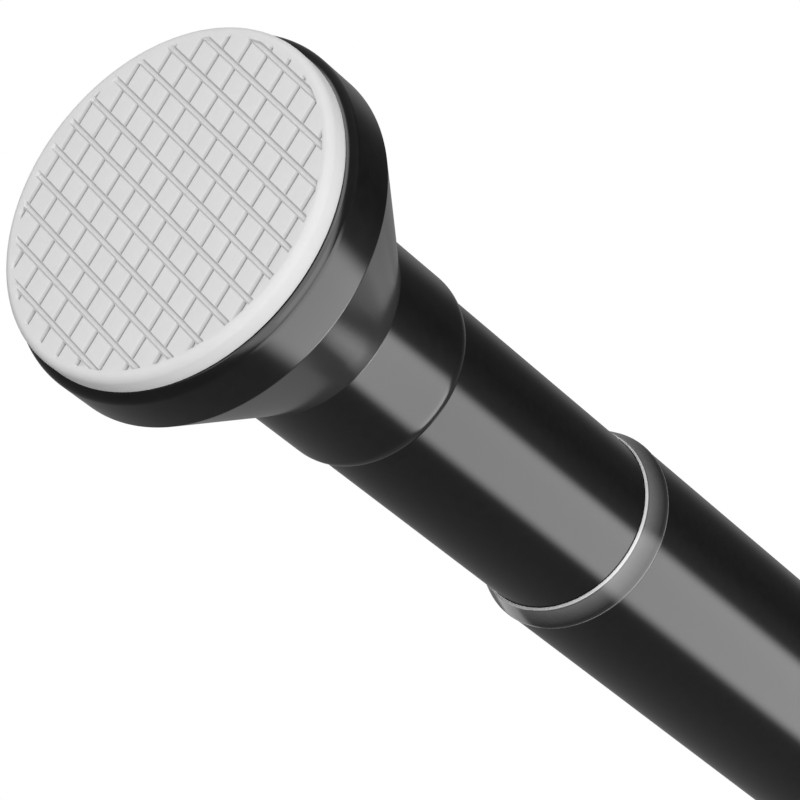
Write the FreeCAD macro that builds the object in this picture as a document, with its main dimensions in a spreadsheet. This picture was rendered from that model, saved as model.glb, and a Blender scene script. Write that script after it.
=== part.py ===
import FreeCAD
import Part
import Sketcher
import math
import os

# Spring tension rod: two telescoping tubes between two wall feet, with a twist lock and a
# compression spring inside. Millimetres. The rod's axis is X, with the front wall at x = 0 and
# the rear wall at x = total_length. +Z is up.

DIMENSIONS = {
    "total_length": 540.0,
    # Tubes
    "inner_tube_radius": 12.7,
    "outer_tube_radius": 14.0,
    "tube_wall": 0.6,
    "tube_seat": 17.0,
    "inner_tube_end": 350.0,
    # Wall pad
    "pad_proud": 3.05,
    "pad_edge_round": 1.0,
    "pad_flat_radius": 22.0,
    "pad_spigot_radius": 21.5,
    "pad_depth": 8.5,
    "pad_relief_radius": 6.0,
    "pad_relief_depth": 4.0,
    "groove_pitch": 3.6,
    "groove_width": 0.75,
    "groove_depth": 0.6,
    "groove_field_radius": 21.35,
    "groove_count": 12,
    "groove_skew": 75.25,
    "first_offset": 2.47,
    "second_offset": 2.05,
    # Foot cup
    "cup_radius": 24.07,
    "cup_wall": 2.51,
    "cup_lip_edge": 0.5,
    "cup_band_end": 10.48,
    "cup_cone_end": 29.12,
    "cup_cone_drop": 10.52,
    "neck_wall": 0.85,
    "neck_end": 44.55,
    "neck_taper": 2.7,
    "neck_edge": 0.2,
    "socket_wall": 1.8,
    "web_front": 13.5,
    "web_thickness": 2.0,
    "screw_clearance": 2.1,
    "rib_thickness": 1.6,
    "rib_front": 9.0,
    "rib_count": 6,
    "rib_root": 0.5,
    # Tube plug and foot screw
    "plug_flange": 1.5,
    "plug_length": 14.0,
    "plug_wall": 1.8,
    "plug_boss_radius": 4.2,
    "small_shank": 1.75,
    "small_head": 3.6,
    "small_head_height": 2.4,
    "small_screw_length": 14.0,
    # Mouth ring
    "ring_front": 88.12,
    "ring_length": 4.39,
    "ring_lip_radius": 13.49,
    "ring_lip_round": 0.35,
    "ring_lip_fall": 0.12,
    "ring_crown_share": 0.62,
    "ring_crown_round": 6.0,
    "ring_bulge": 0.4,
    "ring_rear_step": 0.15,
    "ring_clearance": 0.15,
    "ring_spigot_length": 9.5,
    # Chamfer that leads a turned piece into its bore
    "lead_in": 0.8,
    # Spring and its stop
    "stop_front": 228.0,
    "stop_thickness": 8.0,
    "stop_pip_length": 6.0,
    "stop_pip_radius": 8.6,
    "spring_gap": 0.1,
    "spring_mean_radius": 10.2,
    "spring_wire": 1.0,
    "spring_turns": 10,
    "spring_steps": 12,
    "spring_closed_pitch": 2.2,
    "spring_ground_share": 0.5,
    # Spindle with its plunger, guide bush and collar
    "bush_length": 20.0,
    "bush_flange": 2.0,
    "bush_flange_radius": 13.0,
    "bush_hex": 5.06,
    "spindle_hex": 5.0,
    "plunger_gap": 0.2,
    "plunger_thickness": 2.0,
    "plunger_radius": 11.8,
    "collar_front": 384.0,
    "collar_thickness": 4.0,
    "collar_radius": 9.0,
    "thread_radius": 5.0,
    "spindle_end": 436.0,
    "large_shank": 2.5,
    "large_head": 4.2,
    "large_head_height": 3.2,
    "large_screw_length": 16.0,
    "end_washer_radius": 8.5,
    "end_washer_thickness": 1.5,
    # Split locking sleeve and its cone
    "sleeve_gap": 0.3,
    "sleeve_radius": 13.3,
    "sleeve_bore": 5.3,
    "sleeve_web": 4.6,
    "sleeve_hollow": 9.6,
    "sleeve_mouth": 11.6,
    "sleeve_taper_start": 413.0,
    "sleeve_end": 424.0,
    "slot_width": 2.6,
    "slot_start": 400.0,
    "slot_count": 4,
    "cone_gap": 0.1,
    "cone_front": 414.0,
    "cone_flange_start": 424.6,
    "cone_flange_radius": 12.6,
    "cone_end": 432.0,
    "cone_bore": 5.05,
    "key_width": 2.0,
    "key_start": 416.5,
    "key_radius": 12.6,
    # Every screw's domed head, point and cross recess
    "head_crown": 0.6,
    "head_rim": 0.35,
    "point_slope": 1.5,
    "recess_width": 1.0,
    "recess_depth": 1.4,
}

doc = FreeCAD.newDocument("tension_rod")
dims = doc.addObject("Spreadsheet::Sheet", "dims")
for row, (alias, number) in enumerate(DIMENSIONS.items(), start=1):
    dims.set(f"A{row}", alias)
    dims.set(f"B{row}", str(number))
    dims.setAlias(f"B{row}", alias)
doc.recompute()

X_AXIS = FreeCAD.Vector(1, 0, 0)
Z_AXIS = FreeCAD.Vector(0, 0, 1)
TURN_TO_X = FreeCAD.Rotation(Z_AXIS, X_AXIS)
HALF_TURN = FreeCAD.Rotation(Z_AXIS, 180)

nodes = {}


def value(expression):
    """The number that an expression of the sheet's names comes to."""
    return float(dims.evalExpression(str(expression)))


def bind(thing, target, expression):
    """Ties one property or constraint of a thing to an expression of the sheet's names."""
    thing.setExpression(target, str(expression))


def origin_part(body, role):
    """The plane or axis of a body's own origin that has this role."""
    return next(part for part in body.Origin.OriginFeatures if part.Role == role)


def new_body(name):
    """An empty body whose label is its node's name."""
    body = doc.addObject("PartDesign::Body", name)
    body.Label = name
    return body


def new_sketch(body, name, plane):
    """An empty sketch on one of a body's origin planes."""
    sketch = body.newObject("Sketcher::SketchObject", name)
    sketch.AttachmentSupport = (origin_part(body, plane), [""])
    sketch.MapMode = "FlatFace"
    return sketch


def fix(sketch, kind, references, expression):
    """Adds a dimension to a sketch and ties it to an expression."""
    index = sketch.addConstraint(Sketcher.Constraint(kind, *references, value(expression)))
    bind(sketch, f"Constraints[{index}]", expression)


def place_point(sketch, edge, end, across, up):
    """Fixes one end of an edge at its distances from the sketch's two axes."""
    for kind, axis, expression in (("DistanceX", -2, across), ("DistanceY", -1, up)):
        if expression == "0":
            sketch.addConstraint(Sketcher.Constraint("PointOnObject", edge, end, axis))
        else:
            fix(sketch, kind, (-1, 1, edge, end), expression)


def arc_between(start, end, radius):
    """The shorter arc from start to end, on the left of the way there if radius is negative."""
    chord = end.sub(start)
    middle = start.add(end).multiply(0.5)
    aside = FreeCAD.Vector(chord.y, -chord.x, 0).normalize()
    reach = math.sqrt(max(radius * radius - chord.Length * chord.Length / 4, 0))
    side = 1 if radius > 0 else -1
    centre = middle.add(aside * (-side * reach))
    return Part.Arc(start, centre.add(aside * (side * abs(radius))), end)


def outline(sketch, corners):
    """A closed outline. A corner is (x, y), or (x, y, radius) where an arc leads to it."""
    spots = [FreeCAD.Vector(value(corner[0]), value(corner[1]), 0) for corner in corners]
    ends = []
    for index, corner in enumerate(corners):
        start = spots[index - 1]
        end = spots[index]
        if len(corner) == 3:
            edge = sketch.addGeometry(arc_between(start, end, value(corner[2])), False)
            forward = sketch.getPoint(edge, 1).distanceToPoint(start) < 1e-6
            ends.append((edge, 1, 2) if forward else (edge, 2, 1))
        else:
            edge = sketch.addGeometry(Part.LineSegment(start, end), False)
            ends.append((edge, 1, 2))
    for index, corner in enumerate(corners):
        edge, _, last = ends[index]
        follower, first, _ = ends[(index + 1) % len(ends)]
        sketch.addConstraint(Sketcher.Constraint("Coincident", edge, last, follower, first))
        place_point(sketch, edge, last, corner[0], corner[1])
    for index, corner in enumerate(corners):
        if len(corner) == 3:
            radius = corner[2].lstrip("-")
            fix(sketch, "Radius", (ends[index][0],), radius)


def circle(sketch, across, up, radius):
    """A circle in a sketch, with its centre and radius tied to expressions."""
    centre = FreeCAD.Vector(value(across), value(up), 0)
    ring = Part.Circle(centre, Z_AXIS, value(radius))
    edge = sketch.addGeometry(ring, False)
    place_point(sketch, edge, 3, across, up)
    fix(sketch, "Radius", (edge,), radius)


def turned(body, name, corners):
    """A solid turned about the rod's axis from an outline of (x, radius) corners."""
    sketch = new_sketch(body, f"{name}_profile", "XZ_Plane")
    outline(sketch, corners)
    turn = body.newObject("PartDesign::Revolution", name)
    turn.Profile = sketch
    turn.ReferenceAxis = (sketch, ["H_Axis"])
    turn.Angle = 360
    doc.recompute()
    return turn


def radial_plate(body, name, corners, thickness, cut=False):
    """A plate through the axis, or a cut of that shape, from an outline of (x, radius) corners."""
    sketch = new_sketch(body, f"{name}_profile", "XZ_Plane")
    outline(sketch, corners)
    plate = body.newObject("PartDesign::Pocket" if cut else "PartDesign::Pad", name)
    plate.Profile = sketch
    plate.SideType = "Symmetric"
    bind(plate, "Length", thickness)
    doc.recompute()
    return plate


def round_the_axis(body, feature, count):
    """Repeats a feature evenly about the rod's axis."""
    pattern = body.newObject("PartDesign::PolarPattern", f"{feature.Name}_pattern")
    pattern.Originals = [feature]
    pattern.Axis = (origin_part(body, "X_Axis"), [""])
    pattern.Angle = 360
    bind(pattern, "Occurrences", count)
    body.Tip = pattern
    doc.recompute()
    return pattern


def keep(thing, name, at_rear=False):
    """Takes a finished thing as the node of this name, at the front or the rear end."""
    thing.Label = name
    if at_rear:
        thing.Placement.Rotation = HALF_TURN
        bind(thing, "Placement.Base.x", "dims.total_length")
    nodes[name] = thing


def tube(name, radius, start, end):
    """A plain drawn tube."""
    body = new_body(name)
    sketch = new_sketch(body, f"{name}_section", "YZ_Plane")
    circle(sketch, "0", "0", radius)
    circle(sketch, "0", "0", f"{radius} - dims.tube_wall")
    wall = body.newObject("PartDesign::Pad", f"{name}_wall")
    wall.Profile = sketch
    bind(wall, "Length", f"{end} - ({start})")
    bind(body, "Placement.Base.x", start)
    keep(body, name)


def foot_cup(name, tube_radius, at_rear=False):
    """A moulded foot: a banded rim, a hollow ribbed cone and a neck over the tube's end."""
    body = new_body(name)
    neck = f"{tube_radius} + dims.neck_wall"
    socket = f"{tube_radius} + dims.socket_wall"
    slope = "dims.cup_cone_drop / (dims.cup_cone_end - dims.cup_band_end)"
    inside = "dims.cup_radius - dims.cup_wall"
    cone_end = f"dims.cup_band_end + (dims.cup_radius - ({neck})) / ({slope})"
    hollow_end = f"dims.cup_band_end + ({inside} - ({socket})) / ({slope})"
    taper_radius = (
        f"(dims.neck_taper ^ 2 + (dims.neck_wall - dims.neck_edge) ^ 2)"
        f" / (2 * (dims.neck_wall - dims.neck_edge))"
    )
    web_back = "dims.web_front + dims.web_thickness"
    turned(
        body,
        f"{name}_shell",
        [
            ("dims.pad_proud", inside),
            ("dims.pad_proud", "dims.cup_radius - dims.cup_lip_edge"),
            ("dims.pad_proud + dims.cup_lip_edge", "dims.cup_radius"),
            ("dims.cup_band_end", "dims.cup_radius"),
            (cone_end, neck),
            ("dims.neck_end - dims.neck_taper", neck),
            ("dims.neck_end", f"{tube_radius} + dims.neck_edge", f"-{taper_radius}"),
            ("dims.neck_end", tube_radius),
            (web_back, tube_radius),
            (web_back, "dims.screw_clearance"),
            ("dims.web_front", "dims.screw_clearance"),
            ("dims.web_front", socket),
            (hollow_end, socket),
            ("dims.cup_band_end", inside),
        ],
    )
    rib = radial_plate(
        body,
        f"{name}_rib",
        [
            ("dims.rib_front", f"{socket} - dims.rib_root"),
            ("dims.rib_front", f"{inside} + dims.rib_root"),
            ("dims.cup_band_end", f"{inside} + dims.rib_root"),
            (hollow_end, f"{socket} + dims.rib_root"),
            (hollow_end, f"{socket} - dims.rib_root"),
        ],
        "dims.rib_thickness",
    )
    round_the_axis(body, rib, "dims.rib_count")
    keep(body, name, at_rear)


def groove_bars(body, name, turn, offset):
    """One family of parallel bars across the pad's face, which cut its grooves."""
    sketch = new_sketch(body, f"{name}_bar", "YZ_Plane")
    sketch.AttachmentOffset = FreeCAD.Placement(
        FreeCAD.Vector(0, 0, -value("dims.groove_depth")),
        FreeCAD.Rotation(Z_AXIS, value(turn)),
    )
    half = "dims.groove_width / 2"
    first = f"{offset} - dims.groove_pitch * floor(dims.groove_count / 2)"
    outline(
        sketch,
        [
            ("-dims.pad_flat_radius", f"{first} - {half}"),
            ("dims.pad_flat_radius", f"{first} - {half}"),
            ("dims.pad_flat_radius", f"{first} + {half}"),
            ("-dims.pad_flat_radius", f"{first} + {half}"),
        ],
    )
    bar = body.newObject("PartDesign::Pad", f"{name}_bars")
    bar.Profile = sketch
    bind(bar, "Length", "2 * dims.groove_depth")
    doc.recompute()
    rows = body.newObject("PartDesign::LinearPattern", f"{name}_rows")
    rows.Originals = [bar]
    rows.Direction = (sketch, ["V_Axis"])
    bind(rows, "Length", "dims.groove_pitch * (dims.groove_count - 1)")
    bind(rows, "Occurrences", "dims.groove_count")
    body.Tip = rows
    doc.recompute()


def wall_pad(name, at_rear=False):
    """A soft pad: a round-edged disc with crossed grooves in its face and a spigot behind it."""
    blank = new_body(f"{name}_blank")
    slant = "dims.pad_edge_round * cos(45 deg)"
    rim = "dims.pad_flat_radius + dims.pad_edge_round"
    turned(
        blank,
        f"{name}_disc",
        [
            ("0", "0"),
            ("0", "dims.pad_flat_radius"),
            (f"dims.pad_edge_round - {slant}", f"dims.pad_flat_radius + {slant}"),
            ("dims.pad_edge_round", rim),
            ("dims.pad_proud", rim),
            ("dims.pad_proud", "dims.pad_spigot_radius"),
            ("dims.pad_depth", "dims.pad_spigot_radius"),
            ("dims.pad_depth", "dims.pad_relief_radius"),
            ("dims.pad_depth - dims.pad_relief_depth", "dims.pad_relief_radius"),
            ("dims.pad_depth - dims.pad_relief_depth", "0"),
        ],
    )
    bars = new_body(f"{name}_grooves")
    bars.AllowCompound = True
    groove_bars(bars, f"{name}_first", "0", "dims.first_offset")
    groove_bars(bars, f"{name}_second", "dims.groove_skew", "dims.second_offset")
    field = doc.addObject("Part::Cylinder", f"{name}_field")
    bind(field, "Radius", "dims.groove_field_radius")
    bind(field, "Height", "2 * dims.groove_depth")
    field.Placement.Rotation = TURN_TO_X
    bind(field, "Placement.Base.x", "-dims.groove_depth")
    cutter = doc.addObject("Part::Common", f"{name}_cutter")
    cutter.Base = bars
    cutter.Tool = field
    pad = doc.addObject("Part::Cut", name)
    pad.Base = blank
    pad.Tool = cutter
    keep(pad, name, at_rear)


def tube_plug(name, tube_radius, at_rear=False):
    """A flanged plug pressed into a tube's end, with a boss that the foot's screw bites."""
    body = new_body(name)
    bore = f"{tube_radius} - dims.tube_wall"
    flange_front = "dims.tube_seat - dims.plug_flange"
    back = "dims.tube_seat + dims.plug_length"
    floor_back = "dims.tube_seat + dims.plug_wall"
    turned(
        body,
        f"{name}_form",
        [
            (flange_front, "dims.small_shank"),
            (flange_front, tube_radius),
            ("dims.tube_seat", tube_radius),
            ("dims.tube_seat", bore),
            (back, bore),
            (back, f"{bore} - dims.plug_wall"),
            (floor_back, f"{bore} - dims.plug_wall"),
            (floor_back, "dims.plug_boss_radius"),
            (back, "dims.plug_boss_radius"),
            (back, "dims.small_shank"),
        ],
    )
    keep(body, name, at_rear)


def screw(name, seat, size, facing=1, at_rear=False):
    """A cross-recessed screw whose head stands in front of seat and whose shank runs on from it."""
    body = new_body(name)
    head = f"dims.{size}_head"
    height = f"dims.{size}_head_height"
    shank = f"dims.{size}_shank"
    length = f"dims.{size}_screw_length"
    turned(
        body,
        f"{name}_form",
        [
            (f"-{height}", "0"),
            (f"-{height}", f"{head} * dims.head_crown"),
            (f"-{height} * dims.head_rim", head),
            ("0", head),
            ("0", shank),
            (f"{length} - {shank} * dims.point_slope", shank),
            (length, "0"),
        ],
    )
    for index, turn in enumerate((0, 90)):
        slot = body.newObject("PartDesign::SubtractiveBox", f"{name}_recess_{index}")
        slot.AttachmentSupport = (origin_part(body, "YZ_Plane"), [""])
        slot.MapMode = "FlatFace"
        bind(slot, "Length", head)
        bind(slot, "Width", "dims.recess_width")
        bind(slot, "Height", "dims.recess_depth")
        corner = FreeCAD.Vector(-value(head) / 2, -value("dims.recess_width") / 2, 0)
        spin = FreeCAD.Rotation(Z_AXIS, turn)
        slot.AttachmentOffset = FreeCAD.Placement(
            spin.multVec(corner) + FreeCAD.Vector(0, 0, -value(height)), spin
        )
        doc.recompute()
    keep(body, name, at_rear)
    if facing < 0:
        body.Placement.Rotation = HALF_TURN
    if at_rear:
        bind(body, "Placement.Base.x", f"dims.total_length - ({seat})")
    else:
        bind(body, "Placement.Base.x", seat)


def mouth_ring():
    """The trim ring at the outer tube's mouth: a bulged collar and a spigot inside the tube."""
    body = new_body("mouth_ring")
    bore = "dims.inner_tube_radius + dims.ring_clearance"
    crown = "dims.outer_tube_radius + dims.ring_bulge"
    tail = "dims.outer_tube_radius + dims.ring_rear_step"
    rear = "dims.ring_front + dims.ring_length"
    crown_at = "dims.ring_front + dims.ring_length * dims.ring_crown_share"
    spigot = "dims.outer_tube_radius - dims.tube_wall"
    turned(
        body,
        "mouth_ring_form",
        [
            ("dims.ring_front + dims.ring_lip_round", bore),
            ("dims.ring_front", f"{bore} + dims.ring_lip_round"),
            ("dims.ring_front + dims.ring_lip_fall", "dims.ring_lip_radius"),
            (crown_at, crown, "-dims.ring_crown_round"),
            (rear, tail),
            (rear, spigot),
            (f"{rear} + dims.ring_spigot_length", spigot),
            (f"{rear} + dims.ring_spigot_length", bore),
        ],
    )
    keep(body, "mouth_ring")


def spring_stop():
    """The plug in the inner tube that the spring pushes against, with a pip inside the coil."""
    body = new_body("spring_stop")
    face = "dims.stop_front + dims.stop_thickness"
    turned(
        body,
        "spring_stop_form",
        [
            ("dims.stop_front", "dims.stop_pip_radius / 2"),
            ("dims.stop_front", "dims.inner_tube_radius - dims.tube_wall"),
            (face, "dims.inner_tube_radius - dims.tube_wall"),
            (face, "dims.stop_pip_radius"),
            (f"{face} + dims.stop_pip_length", "dims.stop_pip_radius - dims.lead_in"),
            (f"{face} + dims.stop_pip_length", "dims.stop_pip_radius / 2"),
        ],
    )
    keep(body, "spring_stop")


def coil_route(start, length):
    """Points along the coil, which closes up over one turn at each end and is open between."""
    turns = value("dims.spring_turns")
    steps = int(value("dims.spring_steps"))
    radius = value("dims.spring_mean_radius")
    sunk = value("dims.spring_wire") * value("dims.spring_ground_share")
    closed = value("dims.spring_closed_pitch")
    open_pitch = (length - 2 * sunk - 2 * closed) / (turns - 2)
    route = []
    for step in range(int(turns * steps) + 1):
        turn = step / steps
        first = min(turn, 1)
        last = max(turn - turns + 1, 0)
        along = closed * (first + last) + open_pitch * (turn - first - last)
        angle = 2 * math.pi * turn
        across = radius * math.cos(angle)
        up = radius * math.sin(angle)
        route.append(FreeCAD.Vector(start + sunk + along, across, up))
    return route


def compression_spring():
    """A coil with closed ends ground flat, from the stop to the plunger."""
    start = "dims.stop_front + dims.stop_thickness + dims.spring_gap"
    plunger_front = (
        "dims.inner_tube_end - dims.bush_length - dims.plunger_gap - dims.plunger_thickness"
    )
    length = f"({plunger_front} - dims.spring_gap - ({start}))"
    route = coil_route(value(start), value(length))
    spine = doc.addObject("Part::Feature", "spring_route")
    spine.Shape = Part.makePolygon(route)
    wire = doc.addObject("Part::RegularPolygon", "spring_wire_section")
    wire.Polygon = 6
    bind(wire, "Circumradius", "dims.spring_wire")
    facing = FreeCAD.Rotation(Z_AXIS, route[1] - route[0])
    wire.Placement = FreeCAD.Placement(route[0], facing)
    coil = doc.addObject("Part::Sweep", "spring_coil")
    coil.Sections = [wire]
    coil.Spine = (spine, [f"Edge{index}" for index in range(1, len(route))])
    coil.Solid = True
    coil.Transition = "Right corner"
    grinder = doc.addObject("Part::Box", "spring_envelope")
    bind(grinder, "Length", length)
    for side, middle in (("Width", "y"), ("Height", "z")):
        bind(grinder, side, "4 * dims.spring_mean_radius")
        bind(grinder, f"Placement.Base.{middle}", "-2 * dims.spring_mean_radius")
    bind(grinder, "Placement.Base.x", start)
    spring = doc.addObject("Part::Common", "compression_spring")
    spring.Base = coil
    spring.Tool = grinder
    keep(spring, "compression_spring")


def hexagon(body, name, kind, flat, start, end):
    """Adds or cuts a hexagonal prism along the axis; flat is half the size across its flats."""
    prism = body.newObject(kind, name)
    prism.AttachmentSupport = (origin_part(body, "YZ_Plane"), [""])
    prism.MapMode = "FlatFace"
    prism.Polygon = 6
    bind(prism, "Circumradius", f"{flat} / cos(30 deg)")
    bind(prism, "Height", f"{end} - ({start})")
    bind(prism, "AttachmentOffset.Base.z", start)
    doc.recompute()


def guide_bush():
    """The bush in the inner tube's end, with the hexagonal bore that turns the spindle."""
    body = new_body("guide_bush")
    start = "dims.inner_tube_end - dims.bush_length"
    end = "dims.inner_tube_end + dims.bush_flange"
    turned(
        body,
        "guide_bush_form",
        [
            (start, "0"),
            (start, "dims.inner_tube_radius - dims.tube_wall"),
            ("dims.inner_tube_end", "dims.inner_tube_radius - dims.tube_wall"),
            ("dims.inner_tube_end", "dims.bush_flange_radius"),
            (end, "dims.bush_flange_radius"),
            (end, "0"),
        ],
    )
    prism = "PartDesign::SubtractivePrism"
    hexagon(body, "guide_bush_bore", prism, "dims.bush_hex", f"{start} - 1", f"{end} + 1")
    keep(body, "guide_bush")


def spindle():
    """The stem: a hexagonal slide, a collar and a threaded length that carries the cone."""
    body = new_body("spindle")
    start = "dims.inner_tube_end - dims.bush_length - dims.plunger_gap"
    collar_back = "dims.collar_front + dims.collar_thickness"
    turned(
        body,
        "spindle_thread",
        [
            ("dims.collar_front", "0"),
            ("dims.collar_front", "dims.collar_radius"),
            (collar_back, "dims.collar_radius"),
            (collar_back, "dims.thread_radius"),
            ("dims.spindle_end - dims.lead_in", "dims.thread_radius"),
            ("dims.spindle_end", "dims.thread_radius - dims.lead_in"),
            ("dims.spindle_end", "0"),
        ],
    )
    prism = "PartDesign::AdditivePrism"
    hexagon(body, "spindle_slide", prism, "dims.spindle_hex", start, "dims.collar_front")
    for name, place, facing in (("front", start, 1), ("rear", "dims.spindle_end", -1)):
        hole = body.newObject("PartDesign::SubtractiveCylinder", f"spindle_{name}_hole")
        hole.AttachmentSupport = (origin_part(body, "YZ_Plane"), [""])
        hole.MapMode = "FlatFace"
        bind(hole, "Radius", "dims.large_shank")
        bind(hole, "Height", "dims.large_screw_length")
        inward = place if facing > 0 else f"{place} - dims.large_screw_length"
        bind(hole, "AttachmentOffset.Base.z", inward)
        doc.recompute()
    keep(body, "spindle")


def washer(name, radius, hole, start, thickness):
    """A plain flat washer on the rod's axis."""
    disc = doc.addObject("Part::Cylinder", f"{name}_disc")
    bore = doc.addObject("Part::Cylinder", f"{name}_bore")
    for round_part, size in ((disc, radius), (bore, hole)):
        bind(round_part, "Radius", size)
        bind(round_part, "Height", thickness)
    ring = doc.addObject("Part::Cut", name)
    ring.Base = disc
    ring.Tool = bore
    keep(ring, name)
    ring.Placement.Rotation = TURN_TO_X
    bind(ring, "Placement.Base.x", start)


def lock_sleeve():
    """The split sleeve that the cone spreads against the outer tube's wall."""
    body = new_body("lock_sleeve")
    start = "dims.collar_front + dims.collar_thickness + dims.sleeve_gap"
    turned(
        body,
        "lock_sleeve_form",
        [
            (start, "dims.sleeve_bore"),
            (start, "dims.sleeve_radius - dims.lead_in"),
            (f"{start} + 2 * dims.lead_in", "dims.sleeve_radius"),
            ("dims.sleeve_end", "dims.sleeve_radius"),
            ("dims.sleeve_end", "dims.sleeve_mouth"),
            ("dims.sleeve_taper_start", "dims.sleeve_hollow"),
            (f"{start} + dims.sleeve_web", "dims.sleeve_hollow"),
            (f"{start} + dims.sleeve_web", "dims.sleeve_bore"),
        ],
    )
    slot = radial_plate(
        body,
        "lock_sleeve_slot",
        [
            ("dims.slot_start", "dims.sleeve_bore + 1"),
            ("dims.slot_start", "dims.sleeve_radius + 1"),
            ("dims.sleeve_end + 1", "dims.sleeve_radius + 1"),
            ("dims.sleeve_end + 1", "dims.sleeve_bore + 1"),
        ],
        "dims.slot_width",
        cut=True,
    )
    round_the_axis(body, slot, "dims.slot_count")
    keep(body, "lock_sleeve")


def lock_cone():
    """The cone nut on the spindle's thread, with keys that ride in the sleeve's slots."""
    body = new_body("lock_cone")
    slope = (
        "(dims.sleeve_mouth - dims.sleeve_hollow) / (dims.sleeve_end - dims.sleeve_taper_start)"
    )
    small = (
        f"dims.sleeve_hollow - dims.cone_gap"
        f" + (dims.cone_front - dims.sleeve_taper_start) * ({slope})"
    )
    turned(
        body,
        "lock_cone_form",
        [
            ("dims.cone_front", "dims.cone_bore"),
            ("dims.cone_front", small),
            ("dims.sleeve_end", "dims.sleeve_mouth - dims.cone_gap"),
            ("dims.cone_flange_start", "dims.sleeve_mouth - dims.cone_gap"),
            ("dims.cone_flange_start", "dims.cone_flange_radius"),
            ("dims.cone_end", "dims.cone_flange_radius"),
            ("dims.cone_end", "dims.cone_bore"),
        ],
    )
    key = radial_plate(
        body,
        "lock_cone_key",
        [
            ("dims.key_start", "dims.cone_bore + 1"),
            ("dims.key_start", "dims.key_radius"),
            ("dims.cone_flange_start + 1", "dims.key_radius"),
            ("dims.cone_flange_start + 1", "dims.cone_bore + 1"),
        ],
        "dims.key_width",
    )
    round_the_axis(body, key, "dims.slot_count")
    keep(body, "lock_cone")


def write_parts():
    """Checks every object and each node's shape, then writes one file for each node."""
    doc.recompute()
    failed = [thing.Label for thing in doc.Objects if {"Invalid", "Error"} & set(thing.State)]
    if failed:
        raise RuntimeError(f"objects in error: {failed}")
    for name, thing in nodes.items():
        shape = thing.Shape
        if shape.isNull() or not shape.isValid() or len(shape.Solids) != 1:
            raise RuntimeError(f"{name}: {len(shape.Solids)} solids, valid {shape.isValid()}")
    os.makedirs("parts", exist_ok=True)
    for name, thing in nodes.items():
        thing.Shape.exportStep(f"parts/{name}.step")
        box = thing.Shape.BoundBox
        print(f"{name}: x {box.XMin:.2f} to {box.XMax:.2f}, volume {thing.Shape.Volume:.1f}")


tube("outer_tube", "dims.outer_tube_radius", "dims.ring_front + dims.ring_length",
     "dims.total_length - dims.tube_seat")
mouth_ring()
foot_cup("rear_foot_cup", "dims.outer_tube_radius", at_rear=True)
wall_pad("rear_pad", at_rear=True)
tube_plug("rear_tube_plug", "dims.outer_tube_radius", at_rear=True)
screw("rear_foot_screw", "dims.web_front", "small", facing=-1, at_rear=True)

tube("inner_tube", "dims.inner_tube_radius", "dims.tube_seat", "dims.inner_tube_end")
foot_cup("front_foot_cup", "dims.inner_tube_radius")
wall_pad("front_pad")
tube_plug("front_tube_plug", "dims.inner_tube_radius")
screw("front_foot_screw", "dims.web_front", "small")
spring_stop()
guide_bush()
compression_spring()

PLUNGER_BACK = "dims.inner_tube_end - dims.bush_length - dims.plunger_gap"
spindle()
washer("plunger_washer", "dims.plunger_radius", "dims.large_shank",
       f"{PLUNGER_BACK} - dims.plunger_thickness", "dims.plunger_thickness")
screw("plunger_screw", f"{PLUNGER_BACK} - dims.plunger_thickness", "large")
washer("end_washer", "dims.end_washer_radius", "dims.large_shank",
       "dims.spindle_end", "dims.end_washer_thickness")
screw("end_screw", "dims.spindle_end + dims.end_washer_thickness", "large", facing=-1)
lock_sleeve()
lock_cone()

write_parts()
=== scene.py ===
import math

import bmesh
import bpy
from mathutils import Matrix, Vector


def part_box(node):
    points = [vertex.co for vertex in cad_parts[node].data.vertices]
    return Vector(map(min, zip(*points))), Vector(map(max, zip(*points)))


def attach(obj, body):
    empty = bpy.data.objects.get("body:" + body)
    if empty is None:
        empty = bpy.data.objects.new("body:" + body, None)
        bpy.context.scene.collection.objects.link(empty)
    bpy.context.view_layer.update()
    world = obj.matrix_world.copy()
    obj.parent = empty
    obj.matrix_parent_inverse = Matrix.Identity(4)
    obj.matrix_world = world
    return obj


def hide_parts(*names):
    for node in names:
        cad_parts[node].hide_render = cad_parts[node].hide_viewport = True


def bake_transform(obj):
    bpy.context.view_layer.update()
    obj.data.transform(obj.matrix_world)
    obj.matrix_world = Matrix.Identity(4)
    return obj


# Spring tension rod. The sizes of its pieces are in millimetres, which MM turns into metres.
# The stage, the lamps and the camera are in metres.
MM = 0.001

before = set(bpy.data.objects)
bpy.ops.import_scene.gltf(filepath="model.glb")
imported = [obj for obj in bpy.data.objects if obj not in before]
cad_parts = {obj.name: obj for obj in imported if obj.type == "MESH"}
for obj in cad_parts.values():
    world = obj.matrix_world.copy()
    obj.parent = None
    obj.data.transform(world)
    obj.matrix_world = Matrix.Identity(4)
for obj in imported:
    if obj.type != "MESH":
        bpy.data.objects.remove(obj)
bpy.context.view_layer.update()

ROD_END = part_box("rear_pad")[1][0] / MM
INNER_RADIUS = 12.7
OUTER_RADIUS = 14.0
TUBE_WALL = 0.6
TUBE_SEAT = 17.0
TUBE_END_ROUND = 0.15

PAD_PROUD = 2.88
PAD_FLAT_RADIUS = 22.0
PAD_EDGE_ROUND = 1.0
PAD_EDGE_STEPS = 10
PAD_SPIGOT_RADIUS = 21.5
PAD_DEPTH = 8.5
FIELD_RADIUS = 21.6
FIELD_HEM = 0.12
FIELD_MIDDLE = Vector((-0.25, 0))
GROOVE_PITCH = 3.6
GROOVE_COUNT = 12
GROOVE_SKEW = math.radians(75.25)
FIRST_OFFSET = 2.47
SECOND_OFFSET = 2.05

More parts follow.
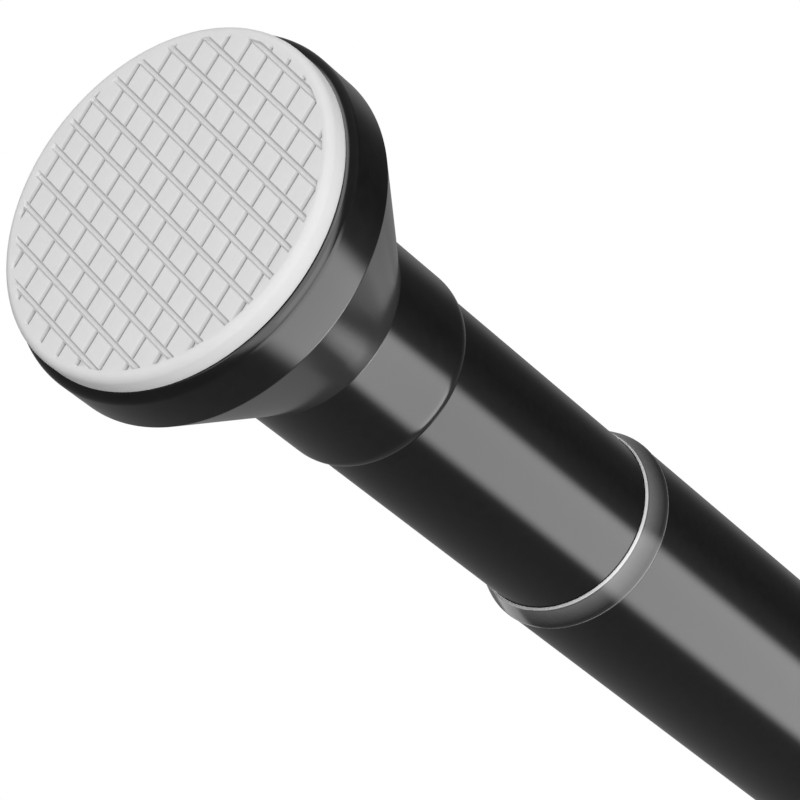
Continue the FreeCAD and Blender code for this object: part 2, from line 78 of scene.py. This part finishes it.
CUP_RADIUS = 24.07
CUP_WALL = 2.51
CUP_FLOOR = 13.0
CUP_LIP_ROUND = 1.4
CUP_BAND_END = 10.03
CUP_CONE_END = 29.05
CUP_CONE_DROP = 10.52
CUP_CONE_SLOPE = CUP_CONE_DROP / (CUP_CONE_END - CUP_BAND_END)
CUP_CREASE_ROUND = 0.5
# Where the painted sheen on the cup's cone ends
CUP_SHEEN_END = 29.1
NECK_WALL = 0.85
NECK_END = 44.55
NECK_TAPER = 2.0
NECK_EDGE = 0.38
NECK_SPLIT = 41.5

RING_FRONT = 88.12
RING_REAR = RING_FRONT + 4.39
RING_BORE = INNER_RADIUS + 0.05
RING_BEAD = (RING_FRONT + 0.6, 12.82)
RING_BEAD_END = (RING_FRONT + 1.0, 12.99)
RING_BEAD_ROUND = 0.4
RING_BULGE_RADIUS = 45.0
RING_RIM = (RING_REAR - 0.2, OUTER_RADIUS + 0.12)
RING_RIM_END = (RING_REAR, OUTER_RADIUS + 0.01)
RING_RIM_ROUND = 0.22
RING_SPIGOT_END = RING_REAR + 9.5

SPRING_RADIUS = 10.2
SPRING_WIRE = 0.95
SPRING_TURNS = 10
SPRING_CLOSED_PITCH = 2.2

ARC_STEP = math.radians(9)
TUBE_SEGMENTS = 192
PAD_SEGMENTS = 240
FINE_SEGMENTS = 256


# Meshes


def new_mesh(name, vertices, faces):
    """An object in the scene, from vertices in millimetres."""
    mesh = bpy.data.meshes.new(name)
    mesh.from_pydata([(x * MM, y * MM, z * MM) for x, y, z in vertices], [], faces)
    mesh.validate()
    piece = bpy.data.objects.new(name, mesh)
    bpy.context.scene.collection.objects.link(piece)
    return piece


def finish_surface(piece, sharp_degrees=35):
    """Outward normals and smooth shading, with sharp edges where the surface turns by more."""
    mesh = piece.data
    work = bmesh.new()
    work.from_mesh(mesh)
    bmesh.ops.recalc_face_normals(work, faces=work.faces)
    work.to_mesh(mesh)
    work.free()
    mesh.shade_smooth()
    mesh.set_sharp_from_angle(angle=math.radians(sharp_degrees))


def rounded(corners):
    """The points of a closed outline of (x, r) corners, or of (x, r, round) for an arc there."""
    points = []
    for index, corner in enumerate(corners):
        here = Vector(corner[:2])
        if len(corner) == 2:
            points.append(here)
            continue
        before = (Vector(corners[index - 1][:2]) - here).normalized()
        after = (Vector(corners[(index + 1) % len(corners)][:2]) - here).normalized()
        half = before.angle(after) / 2
        reach = corner[2] / math.tan(half)
        middle = here + (before + after).normalized() * (corner[2] / math.sin(half))
        start = here + before * reach - middle
        sweep = math.pi - 2 * half
        turn = 1 if before.x * after.y - before.y * after.x < 0 else -1
        steps = max(2, math.ceil(sweep / ARC_STEP))
        for step in range(steps + 1):
            angle = turn * sweep * step / steps
            spun = Vector((
                start.x * math.cos(angle) - start.y * math.sin(angle),
                start.x * math.sin(angle) + start.y * math.cos(angle),
            ))
            points.append(middle + spun)
    return points


def arc(start, end, radius, steps=8):
    """Points after start up to end on an arc that bulges away from the rod's axis."""
    a, b = Vector(start), Vector(end)
    chord = b - a
    aside = Vector((-chord.y, chord.x)).normalized()
    if aside.y > 0:
        aside = -aside
    centre = (a + b) / 2 + aside * math.sqrt(radius ** 2 - chord.length_squared / 4)
    first = math.atan2(a.y - centre.y, a.x - centre.x)
    last = math.atan2(b.y - centre.y, b.x - centre.x)
    sweep = (last - first + math.pi) % math.tau - math.pi
    points = []
    for step in range(1, steps + 1):
        angle = first + sweep * step / steps
        points.append((centre.x + radius * math.cos(angle), centre.y + radius * math.sin(angle)))
    return points


def circle(x, r, segments, aside=0):
    """Vertices on a circle across the rod at x, moved aside from the rod's axis in Y."""
    vertices = []
    for step in range(segments):
        angle = math.tau * step / segments
        vertices.append((x, aside + r * math.cos(angle), r * math.sin(angle)))
    return vertices


def wrap(rows, sides, closed=False):
    """Faces between rows of vertices that run round; closed joins the last row to the first."""
    faces = []
    for row in range(rows if closed else rows - 1):
        here = row * sides
        following = ((row + 1) % rows) * sides
        for side in range(sides):
            after = (side + 1) % sides
            faces.append((here + side, here + after, following + after, following + side))
    return faces


def turned(name, points, segments=TUBE_SEGMENTS):
    """A closed surface about the rod's axis, turned from a closed outline of (x, r) points."""
    vertices = []
    for x, r in points:
        vertices += circle(x, r, segments)
    piece = new_mesh(name, vertices, wrap(len(points), segments, closed=True))
    finish_surface(piece)
    return piece


# Materials


def material(name, colour, roughness, specular=0.5):
    """A plain Principled material with its tree, ready for texture nodes."""
    made = bpy.data.materials.new(name)
    made.use_nodes = True
    shader = made.node_tree.nodes["Principled BSDF"]
    shader.inputs["Base Color"].default_value = (*colour, 1)
    shader.inputs["Roughness"].default_value = roughness
    shader.inputs["Specular IOR Level"].default_value = specular
    return made


def add_coat(made, weight, roughness):
    """A clear coat over a material."""
    shader = made.node_tree.nodes["Principled BSDF"]
    shader.inputs["Coat Weight"].default_value = weight
    shader.inputs["Coat IOR"].default_value = 1.5
    shader.inputs["Coat Roughness"].default_value = roughness


def grey(level):
    """A grey, as a colour socket or a ramp takes it."""
    return (level, level, level, 1)


def grey_ramp(tree, source, stops):
    """A ramp that a socket drives, through greys given as (position, level) stops."""
    ramp = tree.nodes.new("ShaderNodeValToRGB")
    elements = ramp.color_ramp.elements
    (first, first_level), *between, (last, last_level) = stops
    elements[0].position = first
    elements[0].color = grey(first_level)
    elements[1].position = last
    elements[1].color = grey(last_level)
    for position, level in between:
        elements.new(position).color = grey(level)
    tree.links.new(source, ramp.inputs["Fac"])
    return ramp


def ramp_along(made, start, end, stops):
    """The colour socket of a grey ramp along X, from start to end in millimetres."""
    tree = made.node_tree
    where = tree.nodes.new("ShaderNodeTexCoord")
    split = tree.nodes.new("ShaderNodeSeparateXYZ")
    along = tree.nodes.new("ShaderNodeMapRange")
    along.inputs["From Min"].default_value = start * MM
    along.inputs["From Max"].default_value = end * MM
    tree.links.new(where.outputs["Object"], split.inputs[0])
    tree.links.new(split.outputs["X"], along.inputs["Value"])
    return grey_ramp(tree, along.outputs[0], stops).outputs["Color"]


def add_noise(made, scale, detail=4.0, stretch=(1, 1, 1)):
    """A noise texture in object coordinates; scale is in features per metre."""
    tree = made.node_tree
    where = tree.nodes.new("ShaderNodeTexCoord")
    mapping = tree.nodes.new("ShaderNodeMapping")
    mapping.inputs["Scale"].default_value = stretch
    noise = tree.nodes.new("ShaderNodeTexNoise")
    noise.inputs["Scale"].default_value = scale
    noise.inputs["Detail"].default_value = detail
    tree.links.new(where.outputs["Object"], mapping.inputs["Vector"])
    tree.links.new(mapping.outputs["Vector"], noise.inputs["Vector"])
    return noise


def vary(made, noise, socket, low, high):
    """Drives a socket of the shader from noise, between two levels."""
    tree = made.node_tree
    ramp = grey_ramp(tree, noise.outputs["Fac"], [(0.3, low), (0.7, high)])
    tree.links.new(ramp.outputs["Color"], tree.nodes["Principled BSDF"].inputs[socket])


def bump_from(made, noise, strength, distance):
    """Bumps the surface by noise; distance is the height of the bumps in metres."""
    tree = made.node_tree
    bump = tree.nodes.new("ShaderNodeBump")
    bump.inputs["Strength"].default_value = strength
    bump.inputs["Distance"].default_value = distance
    tree.links.new(noise.outputs["Fac"], bump.inputs["Height"])
    tree.links.new(bump.outputs["Normal"], tree.nodes["Principled BSDF"].inputs["Normal"])


def mix_into_base(made, blend_type="MIX"):
    """A mix node before the shader's base colour, with the colour it had until now as A."""
    tree = made.node_tree
    base = tree.nodes["Principled BSDF"].inputs["Base Color"]
    mix = tree.nodes.new("ShaderNodeMix")
    mix.data_type = "RGBA"
    mix.blend_type = blend_type
    tree.links.new(base.links[0].from_socket, mix.inputs["A"])
    tree.links.new(mix.outputs["Result"], base)
    return mix


def black_coat(name, grain):
    """Black under a thin, half-glossy coat with a very fine orange peel."""
    made = material(name, (0.003, 0.003, 0.003), 0.5, 0.0)
    add_coat(made, 0.25, 0.15)
    vary(made, add_noise(made, grain), "Base Color", 0.0002, 0.0005)
    bump_from(made, add_noise(made, 3 * grain, 2), 0.03, 0.00002)
    return made


def add_painted_sheen(made, start, end, level):
    """Paints a material a little paler between two values of x, in millimetres: a painted sheen
    that stands in for light the surface catches.
    """
    painted_sheen = ramp_along(made, start, end, [(0, 0), (0.02, 1), (0.985, 1), (1, 0)])
    mix = mix_into_base(made)
    mix.inputs["B"].default_value = grey(level)
    made.node_tree.links.new(painted_sheen, mix.inputs["Factor"])


def smoky_plastic():
    """The mouth ring: glossy smoky moulding, with painted highlights at its front lip and rear
    edge, and darker towards the rear between them.
    """
    made = material("ring_smoke", (0.012, 0.012, 0.012), 0.4, 0.0)
    add_coat(made, 0.27, 0.14)
    vary(made, add_noise(made, 800), "Base Color", 0.9, 1)
    # Painted highlights: the ramp paints the front lip and the rear edge pale; between them it is
    # the smoky tint, darker towards the rear.
    tint_and_highlights = ramp_along(made, RING_FRONT, RING_REAR, [
        (0, 0.09), (0.21, 0.09), (0.235, 0.008), (0.28, 0.02),
        (0.84, 0.002), (0.93, 0.004), (0.95, 0.024), (1, 0.024),
    ])
    mix = mix_into_base(made, "MULTIPLY")
    mix.inputs["Factor"].default_value = 1
    made.node_tree.links.new(tint_and_highlights, mix.inputs["B"])
    return made


def white_rubber():
    """The pads: soft white, matte, with painted shade in the grooves where the mesh is marked, and
    a fine mould texture.
    """
    made = material("pad_white", (0.78, 0.78, 0.78), 0.7, 0.15)
    vary(made, add_noise(made, 260), "Base Color", 0.77, 0.79)
    bump_from(made, add_noise(made, 5200, 3), 0.08, 0.00003)
    # Painted shade: the grey attribute darkens the groove walls and floors, where shadow falls.
    groove_shade = made.node_tree.nodes.new("ShaderNodeAttribute")
    groove_shade.attribute_name = "grey"
    mix = mix_into_base(made)
    mix.inputs["B"].default_value = grey(0.32)
    made.node_tree.links.new(groove_shade.outputs["Fac"], mix.inputs["Factor"])
    return made


def steel(name, roughness):
    """Zinc-plated steel, drawn or turned, with streaks along the rod."""
    made = material(name, (0.55, 0.55, 0.56), roughness)
    made.node_tree.nodes["Principled BSDF"].inputs["Metallic"].default_value = 1
    streaks = add_noise(made, 1400, 3, (0.1, 1, 1))
    vary(made, streaks, "Roughness", roughness * 0.8, roughness * 1.3)
    return made


def moulded(name, colour, roughness):
    """A plain moulded plastic with a faint mottled sheen."""
    made = material(name, colour, roughness)
    vary(made, add_noise(made, 1100), "Roughness", roughness * 0.85, roughness * 1.15)
    return made


tube_black = black_coat("tube_black", 900)
cup_black = black_coat("cup_black", 700)
# Painted sheen: the cup's cone is painted a little paler, for the light it catches.
add_painted_sheen(cup_black, CUP_BAND_END, CUP_SHEEN_END, 0.004)
ring_smoke = smoky_plastic()
pad_white = white_rubber()
spring_steel = steel("spring_steel", 0.28)
screw_steel = steel("screw_steel", 0.35)
plug_black = moulded("plug_black", (0.03, 0.03, 0.03), 0.5)
lock_natural = moulded("lock_natural", (0.68, 0.67, 0.63), 0.45)


def place(piece, body, node, made, rear=False):
    """Gives a piece its material and lets it stand for its node.

    A rear piece is made as a front one and turned here, by half a turn about Z.
    """
    if rear:
        flip = Matrix.Translation((ROD_END * MM, 0, 0)) @ Matrix.Rotation(math.pi, 4, "Z")
        piece.data.transform(flip)
    piece.data.materials.append(made)
    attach(piece, body)
    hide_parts(node)


# Tubes


def tube(name, radius, start, end):
    """A tube whose ends are rounded a little."""
    bore = radius - TUBE_WALL
    return turned(name, rounded([
        (start, bore, TUBE_END_ROUND),
        (start, radius, TUBE_END_ROUND),
        (end, radius, TUBE_END_ROUND),
        (end, bore, TUBE_END_ROUND),
    ]))


place(
    tube("inner_tube_skin", INNER_RADIUS, TUBE_SEAT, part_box("inner_tube")[1][0] / MM),
    "inner", "inner_tube", tube_black,
)
place(
    tube("outer_tube_skin", OUTER_RADIUS, RING_REAR, ROD_END - TUBE_SEAT),
    "outer", "outer_tube", tube_black,
)


# Feet


def foot_cup(name, tube_radius):
    """The foot's outer shell as far as its lip, its creases rounded, closed behind the pad."""
    neck = tube_radius + NECK_WALL
    cone_end = CUP_BAND_END + (CUP_RADIUS - neck) / CUP_CONE_SLOPE
    inside = CUP_RADIUS - CUP_WALL
    return turned(name, rounded([
        (PAD_PROUD, inside),
        (PAD_PROUD, CUP_RADIUS, CUP_LIP_ROUND),
        (CUP_BAND_END, CUP_RADIUS, CUP_CREASE_ROUND),
        (cone_end, neck, CUP_CREASE_ROUND),
        (NECK_SPLIT, neck),
        (NECK_SPLIT, tube_radius),
        (TUBE_SEAT, tube_radius),
        (CUP_FLOOR, inside),
    ]), FINE_SEGMENTS)


def foot_lip(name, tube_radius):
    """The end of the foot's neck, which bends down to the tube."""
    neck = tube_radius + NECK_WALL
    edge = tube_radius + NECK_EDGE
    drop = NECK_WALL - NECK_EDGE
    taper_start = (NECK_END - NECK_TAPER, neck)
    taper_radius = (NECK_TAPER ** 2 + drop ** 2) / (2 * drop)
    return turned(name, [
        (NECK_SPLIT, neck),
        taper_start,
        *arc(taper_start, (NECK_END, edge), taper_radius),
        (NECK_END, tube_radius),
        (NECK_SPLIT, tube_radius),
    ], FINE_SEGMENTS)


place(foot_cup("front_foot_shell", INNER_RADIUS), "inner", "front_foot_cup", cup_black)
place(foot_lip("front_foot_lip", INNER_RADIUS), "inner", "front_foot_cup", cup_black)
place(foot_cup("rear_foot_shell", OUTER_RADIUS), "outer", "rear_foot_cup", cup_black, True)
place(foot_lip("rear_foot_lip", OUTER_RADIUS), "outer", "rear_foot_cup", cup_black, True)


# Wall pads

# Across a groove, in millimetres: distance from its middle, depth, and how much painted shade
# greys its surface.
# The first family of lines has channels. The second has notches in the bars between these.
CHANNEL = [
    (-0.42, 0, 0), (-0.38, 0.1, 0.4), (-0.3, 0.34, 0.5), (-0.22, 0.42, 0.16), (0, 0.44, 0.14),
    (0.2, 0.42, 0.16), (0.27, 0.34, 0.35), (0.35, 0.1, 0.15), (0.4, 0, 0),
]
NOTCH = [
    (-0.72, 0, 0), (-0.5, 0.02, 0), (-0.33, 0.05, 0.3), (-0.1, 0.12, 0.55), (0, 0.26, 1),
    (0.13, 0.3, 0.95), (0.23, 0.12, 0.5), (0.33, 0, 0),
]
# A notch begins this far from a channel's middle, give or take the tolerance
NOTCH_START = 0.48
NOTCH_TOLERANCE = 0.001

# In metres: the field's middle and reach, and how far off the face or a cut still counts as on it
FIELD_CENTRE = FIELD_MIDDLE * MM
FIELD_REACH = (FIELD_RADIUS - FIELD_HEM / 2) * MM
FACE_TOLERANCE = 1e-6
CUT_TOLERANCE = 1e-8


def family_lines(offset):
    """Where the lines of one family of grooves lie, measured across them."""
    first = offset - GROOVE_PITCH * (GROOVE_COUNT // 2)
    return [first + GROOVE_PITCH * index for index in range(GROOVE_COUNT)]


def from_nearest(point, across, lines):
    """How far a point is from the nearest line of a family, measured across it."""
    where = point.dot(across) / MM
    return min((where - line for line in lines), key=abs)


def groove_at(profile, distance):
    """The depth and the greyness of a groove at this distance from its middle."""
    distance = round(distance, 5)
    for (start, *first), (end, *last) in zip(profile, profile[1:]):
        if start <= distance <= end:
            share = (distance - start) / (end - start)
            return [a + (b - a) * share for a, b in zip(first, last)]
    return [0, 0]


def in_field(point):
    """Whether a point is on the pad's face, in the round field that holds the grooves."""
    return abs(point.x) < FACE_TOLERANCE and (point.yz - FIELD_CENTRE).length < FIELD_REACH


def cut_grooves(piece):
    """Slices the face along every line of both families, sinks it there and marks it with painted
    shade.
    """
    first = Vector((0, 0, 1))
    second = Vector((0, -math.sin(GROOVE_SKEW), math.cos(GROOVE_SKEW)))
    first_lines = family_lines(FIRST_OFFSET)
    second_lines = family_lines(SECOND_OFFSET)
    channel_cuts = [-NOTCH_START, *(step[0] for step in CHANNEL), NOTCH_START]
    notch_cuts = [step[0] for step in NOTCH]
    cuts = [(first, line + cut) for line in first_lines for cut in channel_cuts]
    cuts += [(second, line + cut) for line in second_lines for cut in notch_cuts]
    work = bmesh.new()
    work.from_mesh(piece.data)
    for across, where in cuts:
        faces = [face for face in work.faces if in_field(face.calc_center_median())]
        edges = dict.fromkeys(edge for face in faces for edge in face.edges)
        vertices = dict.fromkeys(vert for face in faces for vert in face.verts)
        bmesh.ops.bisect_plane(
            work, geom=[*edges, *faces, *vertices], plane_co=across * (where * MM),
            plane_no=across, dist=CUT_TOLERANCE,
        )
    # Painted shade: the grey layer darkens the grooves along their walls, and in a notch most on
    # one side.
    groove_shade = work.verts.layers.float.new("grey")
    for vert in work.verts:
        if not in_field(vert.co):
            continue
        distance = from_nearest(vert.co, first, first_lines)
        depth, shade = groove_at(CHANNEL, distance)
        if abs(distance) > NOTCH_START - NOTCH_TOLERANCE:
            depth, shade = groove_at(NOTCH, from_nearest(vert.co, second, second_lines))
        vert.co.x = depth * MM
        vert[groove_shade] = shade
    work.to_mesh(piece.data)
    work.free()


def wall_pad(name):
    """A bullnosed disc whose face is cut by two families of soft-edged grooves."""
    field = [(0, FIELD_RADIUS - FIELD_HEM), (0, FIELD_RADIUS)]
    rim = [(0, PAD_FLAT_RADIUS)]
    for step in range(1, PAD_EDGE_STEPS + 1):
        angle = math.pi / 2 * step / PAD_EDGE_STEPS
        x = PAD_EDGE_ROUND - PAD_EDGE_ROUND * math.cos(angle)
        r = PAD_FLAT_RADIUS + PAD_EDGE_ROUND * math.sin(angle)
        rim.append((x, r))
    rim += [
        (PAD_PROUD, PAD_FLAT_RADIUS + PAD_EDGE_ROUND),
        (PAD_PROUD, PAD_SPIGOT_RADIUS),
        (PAD_DEPTH, PAD_SPIGOT_RADIUS),
    ]
    vertices = []
    for x, r in field:
        vertices += circle(x, r, PAD_SEGMENTS, FIELD_MIDDLE.x)
    for x, r in rim:
        vertices += circle(x, r, PAD_SEGMENTS)
    front = tuple(range(PAD_SEGMENTS))
    back = tuple(range(len(vertices) - PAD_SEGMENTS, len(vertices)))
    faces = [front, *wrap(len(field) + len(rim), PAD_SEGMENTS), back]
    piece = new_mesh(name, vertices, faces)
    cut_grooves(piece)
    finish_surface(piece, sharp_degrees=60)
    soften = piece.modifiers.new("soften", "WEIGHTED_NORMAL")
    soften.keep_sharp = True
    return piece


place(wall_pad("front_pad_soft"), "inner", "front_pad", pad_white)
place(wall_pad("rear_pad_soft"), "outer", "rear_pad", pad_white, True)


# Mouth ring


def mouth_ring():
    """A slightly bulged collar, from a small bead on the inner tube to just over the outer one."""
    spigot = OUTER_RADIUS - TUBE_WALL
    return turned("mouth_ring_trim", [
        (RING_SPIGOT_END, RING_BORE),
        (RING_BEAD[0], RING_BORE),
        RING_BEAD,
        *arc(RING_BEAD, RING_BEAD_END, RING_BEAD_ROUND),
        *arc(RING_BEAD_END, RING_RIM, RING_BULGE_RADIUS, 14),
        *arc(RING_RIM, RING_RIM_END, RING_RIM_ROUND, 4),
        (RING_REAR, spigot),
        (RING_SPIGOT_END, spigot),
    ], FINE_SEGMENTS)


place(mouth_ring(), "outer", "mouth_ring", ring_smoke)


# Pieces inside


def spring():
    """A round-wire coil with closed ends, made at one length; the real spring shortens as the
    inner tube is pushed in.
    """
    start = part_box("compression_spring")[0][0] / MM
    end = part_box("compression_spring")[1][0] / MM
    steps = 28
    sides = 12
    length = end - start - 2 * SPRING_WIRE
    open_pitch = (length - 2 * SPRING_CLOSED_PITCH) / (SPRING_TURNS - 2)
    vertices = []
    for step in range(SPRING_TURNS * steps + 1):
        turn = step / steps
        first = min(turn, 1)
        last = max(turn - SPRING_TURNS + 1, 0)
        closed = SPRING_CLOSED_PITCH * (first + last)
        along = start + SPRING_WIRE + closed + open_pitch * (turn - first - last)
        angle = math.tau * turn
        for side in range(sides):
            spin = math.tau * side / sides
            x = along + SPRING_WIRE * math.sin(spin)
            r = SPRING_RADIUS + SPRING_WIRE * math.cos(spin)
            vertices.append((x, r * math.cos(angle), r * math.sin(angle)))
    front = tuple(range(sides))
    back = tuple(range(len(vertices) - sides, len(vertices)))
    faces = [*wrap(SPRING_TURNS * steps + 1, sides), front, back]
    piece = new_mesh("spring_coil", vertices, faces)
    finish_surface(piece)
    piece.data.materials.append(spring_steel)
    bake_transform(piece)
    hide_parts("compression_spring")


spring()

for node, made in {
    "rear_tube_plug": plug_black,
    "front_tube_plug": plug_black,
    "spring_stop": plug_black,
    "guide_bush": plug_black,
    "spindle": lock_natural,
    "lock_sleeve": lock_natural,
    "lock_cone": lock_natural,
    "rear_foot_screw": screw_steel,
    "front_foot_screw": screw_steel,
    "plunger_washer": screw_steel,
    "plunger_screw": screw_steel,
    "end_washer": screw_steel,
    "end_screw": screw_steel,
}.items():
    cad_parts[node].data.materials.clear()
    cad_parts[node].data.materials.append(made)


# Stage, light and camera

# Where glossy rays see the grey ceiling, where it starts and is full, and how dark it gets
CEILING = Vector((0.70, 0.15, 0.66)).normalized()
CEILING_EDGE = math.radians(34)
CEILING_CORE = math.radians(6)
CEILING_DARKNESS = 0.65
# From here to there, away from under the rod's middle, the floor turns from pale to white
FLOOR_HALF_SIZE = 6
FLOOR_FADE_START = 0.5
FLOOR_FADE_END = 1.3
FLOOR_WHITENESS = 0.8
CAMERA_PLACE = (-0.31901, -0.35121, 0.02663)
CAMERA_TURN = (math.radians(85.839), math.radians(-41.770), math.radians(-43.754))
CAMERA_LENS = 186.49


def white_for_camera(tree):
    """A socket that is 1 for camera, glossy and transmission rays, which see plain white."""
    path = tree.nodes.new("ShaderNodeLightPath")
    seen = path.outputs["Is Camera Ray"]
    for kind in ("Is Glossy Ray", "Is Transmission Ray"):
        most = tree.nodes.new("ShaderNodeMath")
        most.operation = "MAXIMUM"
        tree.links.new(seen, most.inputs[0])
        tree.links.new(path.outputs[kind], most.inputs[1])
        seen = most.outputs[0]
    return seen


def world_light(strength):
    """Soft light all round. The camera sees white, and glossy rays white with a grey ceiling."""
    world = bpy.data.worlds.new("studio")
    bpy.context.scene.world = world
    world.use_nodes = True
    tree = world.node_tree
    tree.nodes.clear()
    out = tree.nodes.new("ShaderNodeOutputWorld")
    dim = tree.nodes.new("ShaderNodeBackground")
    dim.inputs["Color"].default_value = grey(1)
    dim.inputs["Strength"].default_value = strength
    white = tree.nodes.new("ShaderNodeBackground")
    white.inputs["Color"].default_value = grey(1)
    where = tree.nodes.new("ShaderNodeTexCoord")
    dot = tree.nodes.new("ShaderNodeVectorMath")
    dot.operation = "DOT_PRODUCT"
    dot.inputs[1].default_value = CEILING
    fade = tree.nodes.new("ShaderNodeMapRange")
    fade.interpolation_type = "SMOOTHSTEP"
    fade.inputs["From Min"].default_value = math.cos(CEILING_EDGE)
    fade.inputs["From Max"].default_value = math.cos(CEILING_CORE)
    fade.inputs["To Min"].default_value = 0
    fade.inputs["To Max"].default_value = CEILING_DARKNESS
    path = tree.nodes.new("ShaderNodeLightPath")
    dark = tree.nodes.new("ShaderNodeMath")
    dark.operation = "MULTIPLY"
    level = tree.nodes.new("ShaderNodeMath")
    level.operation = "SUBTRACT"
    level.inputs[0].default_value = 1
    mix = tree.nodes.new("ShaderNodeMixShader")
    tree.links.new(where.outputs["Generated"], dot.inputs[0])
    tree.links.new(dot.outputs["Value"], fade.inputs["Value"])
    tree.links.new(fade.outputs[0], dark.inputs[0])
    tree.links.new(path.outputs["Is Glossy Ray"], dark.inputs[1])
    tree.links.new(dark.outputs[0], level.inputs[1])
    tree.links.new(level.outputs[0], white.inputs["Strength"])
    tree.links.new(white_for_camera(tree), mix.inputs[0])
    tree.links.new(dim.outputs[0], mix.inputs[1])
    tree.links.new(white.outputs[0], mix.inputs[2])
    tree.links.new(mix.outputs[0], out.inputs["Surface"])


def floor(height):
    """A pale floor that takes the rod's shadow and turns plain white away from it."""
    size = FLOOR_HALF_SIZE
    corners = [
        (-size, -size, height), (size, -size, height), (size, size, height), (-size, size, height),
    ]
    mesh = bpy.data.meshes.new("floor")
    mesh.from_pydata(corners, [], [(0, 1, 2, 3)])
    sheet = bpy.data.objects.new("floor", mesh)
    bpy.context.scene.collection.objects.link(sheet)
    made = bpy.data.materials.new("floor_pale")
    made.use_nodes = True
    tree = made.node_tree
    tree.nodes.clear()
    out = tree.nodes.new("ShaderNodeOutputMaterial")
    pale = tree.nodes.new("ShaderNodeBsdfDiffuse")
    pale.inputs["Color"].default_value = grey(0.5)
    white = tree.nodes.new("ShaderNodeEmission")
    white.inputs["Strength"].default_value = 1
    mix = tree.nodes.new("ShaderNodeMixShader")
    where = tree.nodes.new("ShaderNodeTexCoord")
    away = tree.nodes.new("ShaderNodeVectorMath")
    away.operation = "DISTANCE"
    away.inputs[1].default_value = (ROD_END * MM / 2, 0, height)
    fade = tree.nodes.new("ShaderNodeMapRange")
    fade.interpolation_type = "SMOOTHSTEP"
    fade.inputs["From Min"].default_value = FLOOR_FADE_START
    fade.inputs["From Max"].default_value = FLOOR_FADE_END
    fade.inputs["To Min"].default_value = FLOOR_WHITENESS
    share = tree.nodes.new("ShaderNodeMath")
    share.operation = "MULTIPLY"
    tree.links.new(where.outputs["Object"], away.inputs[0])
    tree.links.new(away.outputs["Value"], fade.inputs["Value"])
    tree.links.new(fade.outputs[0], share.inputs[0])
    tree.links.new(white_for_camera(tree), share.inputs[1])
    tree.links.new(share.outputs[0], mix.inputs[0])
    tree.links.new(pale.outputs[0], mix.inputs[1])
    tree.links.new(white.outputs[0], mix.inputs[2])
    tree.links.new(mix.outputs[0], out.inputs["Surface"])
    sheet.data.materials.append(made)


def only(name, pieces):
    """A collection of pieces, for a lamp that lights nothing else."""
    group = bpy.data.collections.new(name)
    for piece in pieces:
        group.objects.link(bpy.data.objects[piece])
    return group


def softbox(name, at, towards, size, radiance, feather=0.2, lit=None):
    """A rectangular lamp at a place, facing another, that the camera doesn't see.

    Its light fades over the share feather of its height at both long edges. It lights only the
    pieces in lit, if given.
    """
    data = bpy.data.lights.new(name, "AREA")
    data.shape = "RECTANGLE"
    data.size, data.size_y = size
    data.energy = radiance * math.pi * size[0] * size[1]
    if feather:
        data.use_nodes = True
        tree = data.node_tree
        where = tree.nodes.new("ShaderNodeNewGeometry")
        split = tree.nodes.new("ShaderNodeSeparateXYZ")
        tree.links.new(where.outputs["Parametric"], split.inputs[0])
        stops = [(0, 0), (feather, 1), (1 - feather, 1), (1, 0)]
        ramp = grey_ramp(tree, split.outputs["Y"], stops)
        ramp.color_ramp.interpolation = "EASE"
        tree.links.new(ramp.outputs["Color"], tree.nodes["Emission"].inputs["Strength"])
    lamp = bpy.data.objects.new(name, data)
    lamp.location = at
    lamp.rotation_euler = (Vector(towards) - Vector(at)).to_track_quat("-Z", "Y").to_euler()
    lamp.visible_camera = False
    if lit:
        lamp.light_linking.receiver_collection = lit
    bpy.context.scene.collection.objects.link(lamp)


def camera():
    """The camera that was fitted to the photograph."""
    data = bpy.data.cameras.new("camera")
    data.sensor_width = 36
    data.lens = CAMERA_LENS
    data.clip_start = 0.01
    holder = bpy.data.objects.new("camera", data)
    holder.location = CAMERA_PLACE
    holder.rotation_euler = CAMERA_TURN
    bpy.context.scene.collection.objects.link(holder)
    bpy.context.scene.camera = holder


world_light(0.38)
floor(-0.35)

glossy = only("glossy_pieces", [
    "inner_tube_skin", "outer_tube_skin", "front_foot_shell", "rear_foot_shell",
    "front_foot_lip", "rear_foot_lip", "mouth_ring_trim",
])
mirrored = only("mirrored", ["inner_tube_skin", "outer_tube_skin", "front_foot_shell"])
front_face = only("front_face", ["front_pad_soft"])
rear_face = only("rear_face", ["rear_pad_soft"])
ring = only("ring", ["mouth_ring_trim"])

front_end = (0, 0, 0)
rear_end = (ROD_END * MM, 0, 0)
softbox("long_side", (0.9, -0.588, 0.12), (0.9, 0, 0), (1.8, 0.95), 15.7, lit=glossy)
softbox("front", (-0.62, -0.77, 0.22), front_end, (0.7, 0.7), 4.8, feather=0)
softbox("pad_left", (-0.6, 0.5, 0.2), front_end, (0.6, 0.6), 1.7, lit=front_face)
softbox("pad_right", (0.6, -0.55, 0.15), front_end, (0.6, 0.6), 2.1, lit=front_face)
softbox("front_strip", (-0.45, -0.45, 0.1), front_end, (1.15, 0.95), 12, lit=glossy)
softbox("front_turn", (-0.6, 0.25, 0.1), front_end, (0.62, 0.95), 12, lit=glossy)
softbox("ring_low", (0.27, 0.23, -0.27), (0.09, 0, 0), (0.3, 0.22), 4, lit=ring)
softbox("far_end", (2.75, -0.62, 0.15), front_end, (0.42, 1.5), 47, feather=0.5, lit=mirrored)
softbox("far_back", (2.7, 1.08, 0.35), front_end, (0.6, 0.45), 0.9)
softbox("rear_fill", (1.3, -0.5, 0.45), rear_end, (0.7, 0.7), 5.5, lit=rear_face)
camera()
bpy.context.scene.view_settings.view_transform = "Standard"
